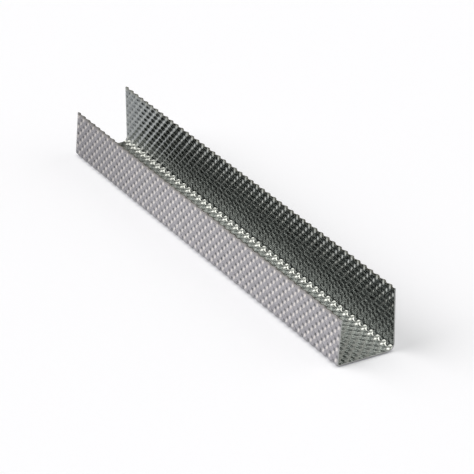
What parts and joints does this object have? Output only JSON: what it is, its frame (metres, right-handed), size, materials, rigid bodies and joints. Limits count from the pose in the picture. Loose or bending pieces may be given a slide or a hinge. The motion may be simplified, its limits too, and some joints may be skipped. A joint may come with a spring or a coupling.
{
  "type": "perimeter channel",
  "caption": "Dimpled galvanised steel channel with a short and a tall flange, fixed along a wall to carry the edge of a suspended ceiling.",
  "frame": {"origin": "middle of the web's outer face, on the surface that the channel lies on", "axes": "+X along the channel, +Y from the short flange to the tall flange, +Z from the web to the open side"},
  "size_m": [0.22, 0.027, 0.0275],
  "materials": {
    "galvanised_steel": "hot-dip galvanised strip, dimpled all over"
  },
  "bodies": {
    "root": {"perimeter_channel": "galvanised_steel"}
  },
  "joints": []
}
